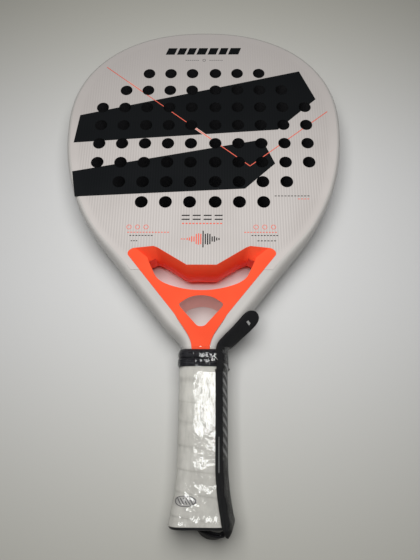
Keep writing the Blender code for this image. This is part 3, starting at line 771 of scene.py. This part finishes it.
def make_core():
    inset = RAIL + LACQUER_GAP
    corner = arm_point(CROSSBAR_ARM_Y + 1.2, inset)
    base = [(x, y + 0.4) for x, y in CROSSBAR_TOP] + [tuple(corner)]
    outline = mirrored(base + inset_outline(lambda y: inset, ARM_HIGH.y + 0.5))
    low = SKIN + LACQUER_GAP
    piece = new_object("drilled_core", prism(outline, low, THICKNESS - low))
    boolean(piece, hole_cutter(HOLE_RADIUS + 0.1))
    dress(piece, [FOAM], ["foam_core"])


def darken_holes(mesh):
    """The drilled edge of a face shows the black core's colour."""
    centres = np.array(list(hole_centres()))
    for face in mesh.polygons:
        if abs(face.normal.z) < 0.9:
            place = np.array((face.center.x / MM, face.center.y / MM + SHIFT))
            if np.hypot(*(centres - place).T).min() < HOLE_RADIUS + 0.3:
                face.material_index = 1


def make_face(name, low, replaced):
    edge = tube_value(SKIN_END, 3)
    corner = arm_point(SKIN_END - edge * ARM_INWARD.y, edge)
    outline = mirrored([tuple(corner)] + inset_outline(lambda y: tube_value(y, 3), SKIN_END))
    piece = new_object(name, prism(outline, low, low + SKIN))
    room = prism(mirrored(bridge_outline(0.0)), -2.0, THICKNESS + 2)
    boolean(piece, new_object("bridge_room", room))
    boolean(piece, hole_cutter(HOLE_RADIUS))
    soften_edges(piece, 0.12)
    dress(piece, [FACE_PAINT, FOAM], [replaced], sharp=None)
    darken_holes(piece.data)


# -------- throat bridge

def bridge_half_height(y):
    return float(np.interp(y, (109.0, 127.0, NECK_SPAN[1]), (11.0, 16.2, MID)))


def bridge_side(clearance):
    """The bridge's side, along the inner wall of the frame down to the handle."""
    side = [tuple(arm_point(197.6, RAIL + clearance))]
    for point, normal in reversed(list(zip(OUTLINE, INWARD))):
        if 107.0 < point.y < 190.0:
            side.append(tuple(point + normal * (tube_value(point.y, 1) + clearance)))
    return side


def bridge_outline(clearance):
    """Right half of the bridge seen from the front, less a clearance to the frame."""
    grow = LACQUER - clearance
    top = [(x - grow / 2, y + grow) for x, y in BRIDGE_TOP]
    side = bridge_side(clearance)
    corner = bezier(top[-1], (61.0 + grow, 212.2 + grow), (64.4 + grow, 208.6), side[0], 12)
    return top + [tuple(point) for point in corner[1:-1]] + side


def opening_base(count):
    """The shallow arc along the top of the bridge bar, from its right end to the middle."""
    x_end, y_end = OPENING_CORNER[-1]
    rise = y_end - OPENING_BASE_Y
    radius = (x_end ** 2 + rise ** 2) / (2 * rise)
    return [(x, OPENING_BASE_Y + radius - math.sqrt(radius ** 2 - x ** 2))
            for x in np.linspace(x_end, 0.0, count + 1)[1:]]


def opening_cutter():
    corner = [tuple(p) for p in bezier(*OPENING_CORNER, 14)][1:]
    lower = list(OPENING_SIDE) + corner + opening_base(12)

    def ring(upper, z):
        return [(x, y, z) for x, y in mirrored(list(upper) + lower)]

    heights = (
        (OPENING_RIM, THICKNESS + 2), (OPENING_RIM, THICKNESS),
        (OPENING_WALL, THICKNESS - BEVEL_DEPTH), (OPENING_WALL, BEVEL_DEPTH),
        (OPENING_RIM, 0.0), (OPENING_RIM, -2.0),
    )
    return new_object("opening", loft([ring(upper, z) for upper, z in heights]))


def window_cutter():
    corner_x, corner_y = WINDOW_CORNER
    arch = bezier((0.0, WINDOW_TOP_Y), (6.5, WINDOW_TOP_Y), (11.5, WINDOW_TOP_Y - 2.0),
                  (corner_x - 2.6, corner_y + 2.6), 12)
    turn = bezier(arch[-1], (corner_x + 1.0, corner_y + 0.9), (corner_x + 1.2, corner_y - 0.6),
                  (corner_x - 1.6, corner_y - 3.6), 10)
    base_x, base_y = WINDOW_BASE
    foot = bezier((base_x, base_y), (base_x - 1.6, base_y - 1.9), (1.6, WINDOW_BASE_Y),
                  (0.0, WINDOW_BASE_Y), 8)
    half = [tuple(p) for p in arch + turn[1:] + foot]
    return new_object("window", prism(mirrored(half), -2.0, THICKNESS + 2))


def thin_neck(work):
    """Slices the neck across and thins it towards the handle."""
    for y in np.linspace(NECK_SPAN[1], NECK_SPAN[0], 13):
        geometry = work.verts[:] + work.edges[:] + work.faces[:]
        bmesh.ops.bisect_plane(work, geom=geometry, dist=0.001,
                               plane_co=(0.0, y, 0.0), plane_no=(0.0, 1.0, 0.0))
    for vertex in work.verts:
        share = bridge_half_height(vertex.co.y) / MID
        vertex.co.z = MID + (vertex.co.z - MID) * share


def paint_window_wall(mesh):
    """The window's own wall gets pale paint tinted pink; the pink is painted bounce light from the
    orange bridge.
    """
    for face in mesh.polygons:
        x, y = face.center.x / MM, face.center.y / MM + SHIFT
        inside = abs(x) < WINDOW_CORNER[0] + 1 and WINDOW_BASE_Y - 1 < y < WINDOW_TOP_Y + 0.2
        if inside and abs(face.normal.z) < 0.2:
            face.material_index = 1


def make_bridge():
    body = prism(mirrored(bridge_outline(LACQUER_GAP)), 0.0, THICKNESS)
    thin_neck(body)
    piece = new_object("bridge_body", body)
    arm_edge = [tuple(arm_point(y, RAIL + 2 * LACQUER_GAP)) for y in (CROSSBAR_ARM_Y, 197.0)]
    half = list(CROSSBAR_TOP) + arm_edge + [(40.0, 182.0), (12.0, 173.9)]
    inner = SKIN + LACQUER_GAP
    boolean(piece, new_object("crossbar", prism(mirrored(half), inner, THICKNESS - inner)), "UNION")
    boolean(piece, opening_cutter())
    boolean(piece, window_cutter())
    soften_edges(piece, 0.6, segments=3)
    # the second finish is the window wall's pale paint with painted bounce light
    dress(piece, [BRIDGE_PAINT, WINDOW_PAINT_AND_BOUNCE], ["throat_bridge"], sharp=None)
    paint_window_wall(piece.data)


# -------- prints

def bar(x, y, length, height, slant=0.0):
    """A slanted bar centred on x, y."""
    lean = slant * height / 2
    a, b = length / 2, height / 2
    return [(x - a - lean, y - b), (x + a - lean, y - b),
            (x + a + lean, y + b), (x - a + lean, y + b)]


def line(start, end, width):
    start, end = Vector(start), Vector(end)
    direction = (end - start).normalized()
    side = Vector((-direction.y, direction.x)) * width / 2
    return [tuple(p) for p in (start - side, end - side, end + side, start + side)]


def dashes(left, right, y, height, count, share=0.62):
    """A broken line in place of a row of small print."""
    step = (right - left) / count
    return [bar(left + step * (i + 0.5), y, step * share, height) for i in range(count)]


def add_ring(work, x, y, radius, width, low, high):
    outer = circle(x, y, radius, RING_SIDES)
    inner = circle(x, y, radius - width, RING_SIDES)
    levels = [[work.verts.new((px, py, z)) for px, py in ring]
              for ring, z in ((outer, low), (outer, high), (inner, high), (inner, low))]
    join_rows(work, levels + levels[:1])


def make_print(name, outlines, material, top, rings=()):
    """Ink on the front face, as thin closed plates that the holes cut through."""
    work = bmesh.new()
    for outline in outlines:
        add_prism(work, outline, THICKNESS - INK_ROOT, THICKNESS + top)
    for x, y, radius, width in rings:
        add_ring(work, x, y, radius, width, THICKNESS - INK_ROOT, THICKNESS + top)
    piece = new_object(name, work)
    boolean(piece, hole_cutter(HOLE_RADIUS + 0.02))
    dress(piece, [material], sharp=30.0)


def wave_bars():
    """Numbered bars above the throat that are tallest in the middle."""
    bars = []
    for offset in range(-7, 8):
        swing = 0.8 + 0.2 * math.cos(offset * 2.4)
        height = (14.0 * math.exp(-(offset / 4.4) ** 2) + 1.6) * swing
        bars.append((offset, bar(1.0 + offset * 1.95, 220.9, 1.0, height)))
    return bars


def make_prints():
    """Plain bands, bars, dashes, rings and lines on the front face."""
    black = [
        [(-121, 319), (70, 333), (108, 368), (94, 402), (-118, 350)],
        [(-114, 262), (38, 270), (66, 296), (55, 322), (-119, 288)],
    ]
    black += [bar(x, 428, length, 8.4, 0.35) for x, length in (
        (-33, 9), (-22.4, 7.6), (-12.6, 7.6), (-2, 9), (9, 8.4), (19.4, 7.6), (30.6, 10.4))]
    black += [bar(x, y, 7, 1.1, 0.4) for x in (-14.4, -4.8, 4.8, 14.4) for y in (239.6, 243.4)]
    black += [shape for offset, shape in wave_bars() if offset >= 0]
    for left, right, y, count in (
            (-63, -42, 224.2, 8), (-61.5, -55, 219.2, 3), (42, 66, 224.2, 9),
            (47, 64, 219.2, 6), (63.5, 95.4, 262.6, 11)):
        black += dashes(left, right, y, 0.75, count)
    coral = [shape for offset, shape in wave_bars() if offset < 0]
    coral += dashes(-65, -28, 227.2, 0.8, 14) + dashes(36, 65, 227.2, 0.8, 11)
    coral += dashes(-18, 18, 235.6, 1.1, 12) + dashes(84, 95, 259.6, 0.7, 4)
    coral += dashes(-18.5, -14, 220.9, 0.9, 2)
    coral += [line((-97, 408), (43, 293.4), 0.8), line((43, 293.4), (118, 353.5), 0.8)]
    rings = [(x, 232.2, 2.2, 0.5) for x in (-63.4, -56, -48.6, 46.7, 54.2, 61.8)]
    pink = [line((-75, 390), (-62, 379.4), 2.2), line((-12, 338.4), (6, 323.7), 2.2)]
    grey = dashes(-19, -5, 416.4, 0.6, 7) + dashes(5, 19, 416.4, 0.6, 7)
    make_print("print_black", black, PRINT_BLACK, 0.05)
    make_print("print_coral", coral, PRINT_CORAL, 0.10, rings)
    make_print("print_pink", pink, PRINT_PINK, 0.08)
    make_print("print_grey", grey, BADGE_INK, 0.05, [(0.0, 416.4, 1.6, 0.4)])


# -------- handle

def flare(y):
    return max(0.0, 1 - y / FLARE_START) ** 2


def layer_section(layer, y):
    half_width, half_height, radius = layer
    return half_width + FLARE_X * flare(y), half_height + FLARE_Z * flare(y), radius


def section_point(section, share, lift=0.0):
    """A point on a rounded rectangle: share runs once round it from +X over the top."""
    half_width, half_height, radius = section
    corner, step = divmod((share % 1.0) * 4, 1.0)
    corner = int(corner)
    sign_x = (1, -1, -1, 1)[corner]
    sign_z = (1, 1, -1, -1)[corner]
    flat_x, flat_z = half_width - radius, half_height - radius
    arc = radius * math.pi / 2
    before, after = (flat_z, flat_x) if corner % 2 == 0 else (flat_x, flat_z)
    along = step * (before + arc + after)
    reach = radius + lift
    start = corner * math.pi / 2
    if along < before:
        turn, slide, shift = start, along - before, start + math.pi / 2
    elif along < before + arc:
        turn, slide, shift = start + (along - before) / radius, 0.0, start
    else:
        turn, slide = start + math.pi / 2, along - before - arc
        shift = start + math.pi
    x = sign_x * flat_x + reach * math.cos(turn) + slide * math.cos(shift)
    z = sign_z * flat_z + reach * math.sin(turn) + slide * math.sin(shift)
    return x, MID + z


def section_ring(section, y, lift=0.0):
    spots = (section_point(section, i / AROUND, lift) for i in range(AROUND))
    return [(x, y, z) for x, z in spots]


def make_grip():
    """Tape wound up the handle, each turn lapping over the one below it."""
    turns = math.ceil(GRIP_TOP / WRAP_PITCH) + 1
    work = bmesh.new()
    grid = []
    for n in range(-2 * AROUND, turns * AROUND + 1):
        turn = n / AROUND
        column = []
        for share, lift in WRAP_PROFILE:
            stray = WRAP_STRAY * noise.noise(Vector((turn + math.floor(share), 0.0, 5.0)))
            y = min(max(WRAP_START + (turn + share) * WRAP_PITCH + stray, GRIP_START), GRIP_TOP)
            wobble = WRAP_WOBBLE * noise.noise(Vector((turn * 3.0, share * 4.0, 1.0)))
            x, z = section_point(layer_section(GRIP, y), turn, lift + wobble - WRAP_WOBBLE)
            column.append(work.verts.new((x, y, z)))
        grid.append(column)
    for n in range(len(grid) - 1):
        for i in range(len(WRAP_PROFILE) - 1):
            work.faces.new((grid[n][i], grid[n + 1][i], grid[n + 1][i + 1], grid[n][i + 1]))
        above = n + AROUND
        if above + 1 < len(grid):
            work.faces.new((grid[n][-1], grid[n + 1][-1], grid[above + 1][0], grid[above][0]))
    bmesh.ops.remove_doubles(work, verts=work.verts, dist=0.002)
    bmesh.ops.dissolve_degenerate(work, edges=work.edges, dist=0.002)
    dress(new_object("grip_winding", work), [GRIP_SKIN], ["grip_wrap"], sharp=50.0)


def make_band(name, section, profile, material, replaced):
    """A closed band round the handle; profile gives Y and the lift off the section."""
    rings = [section_ring(section, y, lift=lift) for y, lift in profile]
    dress(new_object(name, loft(rings, loop=True)), [material], [replaced], sharp=50.0)


def make_bands():
    low, high = TAPE_SPAN
    make_band("tape_band", TAPE, (
        (low, -0.5), (low + 0.1, -0.15), (low + 0.6, 0.1), (low + 1.8, 0.32), (low + 3.4, 0.4),
        (high - 1.8, 0.3), (high - 0.6, 0), (high - 0.1, -0.3), (high, -0.55), (low, -0.55)),
        TAPE_SKIN, "finishing_tape")
    low, high = COLLAR_SPAN[0] - 0.28, COLLAR_SPAN[1]
    make_band("collar_band", COLLAR, (
        (low, -0.6), (low + 0.1, -0.25), (low + 0.6, 0), (low + 1.8, 0.25), (low + 3.2, 0.2),
        (low + 4.4, -0.1), (high - 1.2, -0.6), (high - 0.4, -1.2), (high, -1.9), (high, -2.3),
        (low, -2.3)), COLLAR_SKIN, "grip_collar")


def make_cap():
    """The butt plate: down its rounded rim, then up into the strap hole."""
    rings = [section_ring(CAP_RIM, y, lift) for y, lift in (
        (CAP_TOP, 0.0), (1.3, -0.05), (0.55, -0.45), (0.15, -1.1), (0.0, -2.0))]
    rings += [section_ring(CAP_HOLE, y, lift) for y, lift in (
        (0.0, 0.6), (0.2, 0.15), (0.6, 0.0), (CAP_TOP, 0.0))]
    cap = new_object("cap_body", loft(rings, loop=True))
    dress(cap, [CAP_SKIN], ["butt_cap"], sharp=50.0)


# -------- badge

def grip_surface(distance, y, lift):
    """A point over the grip, a distance to the left of its middle along the surface."""
    half_width, half_height, radius = layer_section(GRIP, y)
    flat = half_width - radius
    if distance <= flat:
        return (-distance, y, MID + half_height + lift)
    angle = (distance - flat) / radius
    reach = radius + lift
    return (-flat - reach * math.sin(angle), y, MID + half_height - radius + reach * math.cos(angle))


def badge_point(across, up, lift):
    return grip_surface(BADGE_MIDDLE - across, BADGE_Y + up, lift)


def badge_oval(work, share, lift):
    """Vertices of an oval at a share of the badge's size."""
    turns = np.linspace(0, 2 * math.pi, BADGE_SIDES + 1)[:-1]
    return [work.verts.new(badge_point(BADGE_HALF_LENGTH * share * math.cos(a),
                                       BADGE_HALF_HEIGHT * share * math.sin(a), lift)) for a in turns]


def make_badge():
    """A thin oval plate with an inked rim and plain slanted strokes."""
    plate = bmesh.new()
    centre = plate.verts.new(badge_point(0.0, 0.0, BADGE_LIFT))
    rows = [badge_oval(plate, share, BADGE_LIFT) for share in (0.35, 0.7, 0.95)]
    rows.append(badge_oval(plate, 1.0, 0.0))
    for i in range(BADGE_SIDES):
        plate.faces.new((centre, rows[0][i - 1], rows[0][i]))
    join_rows(plate, rows)
    dress(new_object("badge_plate", plate), [BADGE_PLATE], ["grip_badge"])

    ink = bmesh.new()
    low, high = BADGE_INK_SPAN
    edges = [badge_oval(ink, share, lift) for share, lift in (
        (0.97, low), (0.97, high), (0.88, high), (0.88, low))]
    join_rows(ink, edges + edges[:1])
    for start in (-5.4, -3.2, -1.0, 1.2, 3.4):
        add_surface_bar(ink, start, 0.7)
    dress(new_object("badge_ink", ink), [BADGE_INK])


def add_surface_bar(work, start, width):
    """A slanted stroke on the badge, bent to the grip's surface."""
    low, high = BADGE_INK_SPAN
    rows = []
    for share in np.linspace(-1.0, 1.0, 5):
        middle = start + 1.1 - share * 1.3
        up = share * 2.0
        rows.append([work.verts.new(badge_point(middle + side * width / 2, up, lift))
                     for side, lift in ((-1, low), (-1, high), (1, high), (1, low))])
    join_rows(work, rows)
    work.faces.new(rows[0])
    work.faces.new(rows[-1])


# -------- wrist strap

def outer_layer(y):
    """The layer that is outermost on the handle at Y."""
    if y > TAPE_SPAN[1] - 1:
        return COLLAR
    return TAPE if y > TAPE_SPAN[0] - 2 else GRIP


def strap_on_handle(y):
    half_width, half_height, radius = layer_section(outer_layer(y), y)
    tilt = math.radians(STRAP_TILT)
    reach = radius + STRAP_LIFT
    x = half_width - radius + reach * math.cos(tilt)
    z = MID + half_height - radius + reach * math.sin(tilt)
    return (x, y, z, STRAP_TILT, STRAP_WIDTH, reach + STRAP_FLATTER)


def catmull(a, b, c, d, t):
    """A smooth curve from b to c, with a and d as the rows beyond them."""
    return 0.5 * (2 * b + (c - a) * t + (2 * a - 5 * b + 4 * c - d) * t * t
                  + (3 * b - a - 3 * c + d) * t ** 3)


def strap_stations():
    """Place, width, bend, outward and sideways directions, eased between the listed rows."""
    rows = np.array(list(STRAP_TURN) + [strap_on_handle(y) for y in STRAP_STOPS] + list(STRAP_TONGUE))
    padded = np.vstack((2 * rows[0] - rows[1], rows, 2 * rows[-1] - rows[-2]))
    fine = []
    for i in range(1, len(padded) - 2):
        for t in np.linspace(0, 1, STRAP_STEPS + 1)[:-1]:
            fine.append(catmull(*padded[i - 1:i + 3], t))
    fine.append(rows[-1])
    stations = []
    for i, (x, y, z, tilt, width, bend) in enumerate(fine):
        before = Vector(fine[max(i - 1, 0)][:3])
        after = Vector(fine[min(i + 1, len(fine) - 1)][:3])
        tangent = (after - before).normalized()
        flat = Vector((tangent.y, -tangent.x, 0.0)).normalized()
        rise = math.radians(tilt)
        outward = flat * math.cos(rise) + Vector((0, 0, math.sin(rise)))
        outward = (outward - tangent * outward.dot(tangent)).normalized()
        stations.append((Vector((x, y, z)), width, bend, outward, tangent.cross(outward)))
    return stations


STRAP = strap_stations()


def strap_point(station, share, lift):
    """A point across the strap: share runs from -1 to 1, lift away from the handle."""
    place, width, bend, outward, sideways = station
    radius = bend + lift
    angle = share * width / (2 * bend)
    return place + sideways * (radius * math.sin(angle)) + outward * (radius * math.cos(angle) - bend)


def make_ply(name, lift, material, replaced):
    """One run of webbing with rounded selvedges and its own weave coordinates."""
    section = [(share, lift) for share in np.linspace(-0.95, 0.95, PLY_SECTION)]
    section += [(0.99, lift + 0.25 * PLY), (1.0, lift + 0.5 * PLY), (0.99, lift + 0.75 * PLY)]
    section += [(share, lift + PLY) for share in np.linspace(0.95, -0.95, PLY_SECTION)]
    section += [(-0.99, lift + 0.75 * PLY), (-1.0, lift + 0.5 * PLY), (-0.99, lift + 0.25 * PLY)]
    work = loft([[strap_point(station, *point) for point in section] for station in STRAP])
    layer = work.loops.layers.uv.new("weave")
    work.verts.index_update()
    run = [0.0]
    for before, after in zip(STRAP, STRAP[1:]):
        run.append(run[-1] + (after[0] - before[0]).length)
    count = len(section)
    around = [share * STRAP_WIDTH / 2 for share, _ in section]
    for face in work.faces:
        for corner in face.loops:
            row, column = divmod(corner.vert.index, count)
            corner[layer].uv = (run[row], around[column])
    dress(new_object(name, work), [material], [replaced], sharp=60.0)


def make_stitches():
    """A short zigzag of thread that ties the two runs together near the strap's end."""
    spots = []
    for i in range(9):
        station = STRAP[-22 + (1 if i % 2 else -1)]
        spots.append(strap_point(station, (i - 4) * 0.06, 2 * PLY + PLY_GAP + 0.05))
    curve = bpy.data.curves.new("stitches", "CURVE")
    curve.dimensions = "3D"
    curve.bevel_depth = 0.17 * MM
    curve.bevel_resolution = 2
    curve.use_fill_caps = True
    spline = curve.splines.new("POLY")
    spline.points.add(len(spots) - 1)
    for point, spot in zip(spline.points, spots):
        point.co = (*to_world(spot), 1.0)
    drawn = add_object("stitches", curve)
    mesh = evaluated_mesh(drawn)
    bpy.data.objects.remove(drawn, do_unlink=True)
    dress(add_object("stitches", mesh), [THREAD], ["strap_bar_tack"])


# -------- clear sleeve

def band_swell(y):
    return BAND_SWELL * sum(math.exp(-((y - spot) / reach) ** 2) for spot, reach in BAND_SWELL_SPOTS)


def sleeve_ring(y, points):
    """A tight ring round points in X and Z, with wrinkles that only stand outward."""
    centre = np.array(FILM_CENTRE)
    angles = np.linspace(0, 2 * math.pi, FILM_SIDES + 1)[:-1]
    directions = np.stack((np.cos(angles), np.sin(angles)), axis=1)
    support = ((np.array(points) - centre) @ directions.T).max(axis=0) + FILM_GAP
    ring = []
    for angle in angles:
        spread = np.cos(angles - angle)
        facing = spread > 0.1
        reach = (support[facing] / spread[facing]).min()
        place = Vector((reach * math.cos(angle), y, reach * math.sin(angle)))
        swell = 0.5 + 0.5 * noise.noise(Vector((place.x / 12.0, y / 10.0, place.z / 12.0)))
        crinkle = abs(noise.noise(Vector((place.x / 4.0, y / 3.0, place.z / 4.0 + 7.0))))
        loose = 1.0 + 1.5 * smooth_step((50.0 - y) / 30.0)
        gathered = 4.0 * smooth_step((y - 110.0) / 4.0)
        reach += band_swell(y) + loose * (0.28 * swell + 0.07 * crinkle) + gathered * 0.07 * crinkle
        ring.append((centre[0] + reach * math.cos(angle), y, centre[1] + reach * math.sin(angle)))
    return ring


def make_film():
    """The clear sleeve, shrunk round the handle's layers and the strap beside them."""
    tracks = []
    for lift in (0.0, 2 * PLY + PLY_GAP):
        for share in np.linspace(-1.0, 1.0, 9):
            up_the_side = STRAP[5 * STRAP_STEPS + 1:]
            track = [strap_point(station, share, lift) for station in up_the_side]
            low = next(i for i, p in enumerate(track) if p.y > -2.0)
            tracks.append(np.array([tuple(p) for p in track[low:]]))
    rings = []
    for y in np.linspace(FILM_SPAN[0], FILM_SPAN[1], FILM_RINGS):
        section = layer_section(outer_layer(min(y, COLLAR_SPAN[1])), max(y, GRIP_START))
        points = [section_point(section, i / 48) for i in range(48)]
        for track in tracks:
            points.append(tuple(float(np.interp(y, track[:, 1], track[:, k])) for k in (0, 2)))
        rings.append(sleeve_ring(y, points))
    piece = new_object("film_wrap", loft(rings, caps=False))
    modify(piece, "SOLIDIFY", thickness=FILM_WALL * MM, offset=-1.0)
    dress(piece, [FILM], ["film_sleeve"], sharp=70.0)


# -------- build

add_camera()
add_lights()
add_floor()
make_frame()
make_core()
make_face("front_face", THICKNESS - SKIN, "front_skin")
make_face("back_face", 0.0, "back_skin")
make_bridge()
make_prints()
make_grip()
make_bands()
make_cap()
make_badge()
make_ply("strap_inner_run", 0.0, WEBBING, "strap_inner_ply")
make_ply("strap_outer_run", PLY + PLY_GAP, WEBBING_HATCHED, "strap_outer_ply")
make_stitches()
make_film()
for hidden in ("handle_pallet", "handle_foam", "strap_anchor"):
    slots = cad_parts[hidden].data.materials
    slots[0] = CAP_SKIN if hidden == "strap_anchor" else FOAM
